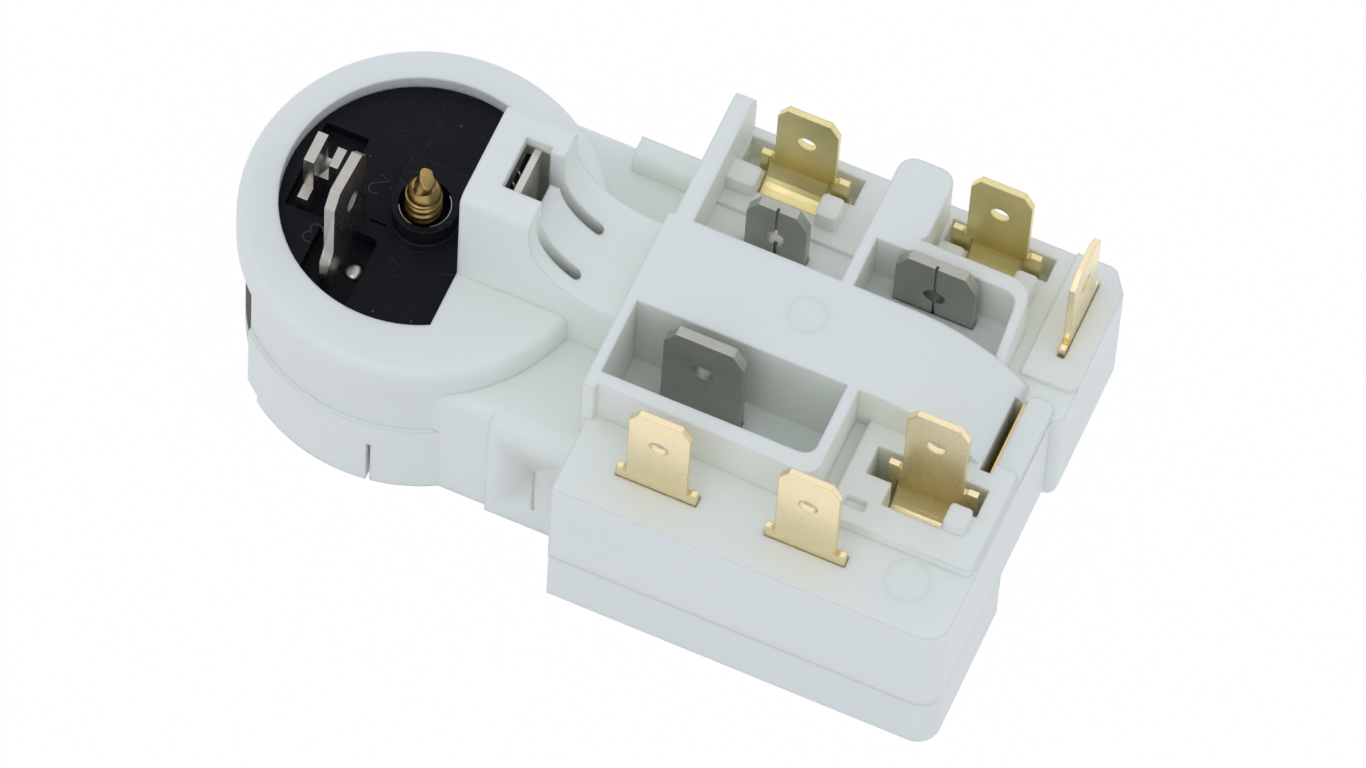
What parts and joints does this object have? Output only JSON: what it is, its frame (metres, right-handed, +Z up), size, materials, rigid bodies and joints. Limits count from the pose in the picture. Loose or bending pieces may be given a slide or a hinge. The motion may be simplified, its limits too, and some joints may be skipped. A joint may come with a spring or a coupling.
{
  "type": "compressor start relay",
  "caption": "Pale plastic start relay for a refrigeration compressor: round black overload protector in a ring, joined to a block of flat push-on tabs with pin sockets below.",
  "frame": {"origin": "middle of the overall length and width, on the plane the part lies on", "axes": "+X from the ring towards the terminal block, +Y towards the far side as pictured, +Z up along the tabs"},
  "size_m": [0.0628, 0.0336, 0.0282],
  "materials": {
    "housing_plastic": "slightly translucent pale plastic, satin",
    "cover_plastic": "slightly translucent pale plastic, satin",
    "phenolic": "black phenolic, moulded",
    "can_steel": "plain steel",
    "screw_brass": "cut brass",
    "nickel": "nickel plated",
    "bimetal": "rolled strip",
    "heater_metal": "resistance strip",
    "contact_metal": "silver alloy",
    "link_metal": "rolled strip",
    "brass": "pale brass, punched",
    "dark_brass": "brass in shade, punched",
    "tinned_steel": "dull tin plated",
    "ceramic": "fired ceramic",
    "spring_metal": "spring strip",
    "plate_brass": "punched brass"
  },
  "bodies": {
    "root": {"housing": "housing_plastic", "base_cover": "cover_plastic", "overload_body": "phenolic", "overload_can": "can_steel", "calibration_screw": "screw_brass", "overload_terminal_2": "nickel", "overload_terminal_3": "nickel", "bimetal_disc": "bimetal", "overload_heater": "heater_metal", "fixed_contact_a": "contact_metal", "fixed_contact_b": "contact_metal", "moving_contact_a": "contact_metal", "moving_contact_b": "contact_metal", "link_strip": "link_metal", "tab_near_left": "brass", "tab_near_right": "brass", "tab_right": "brass", "tab_far_left": "dark_brass", "tab_far_right": "dark_brass", "tab_end": "brass", "pin_terminal_1": "tinned_steel", "pin_terminal_2": "tinned_steel", "pin_terminal_3": "tinned_steel", "ceramic_disc": "ceramic", "disc_spring_near": "spring_metal", "disc_spring_far": "spring_metal", "end_plate": "plate_brass"}
  },
  "joints": []
}
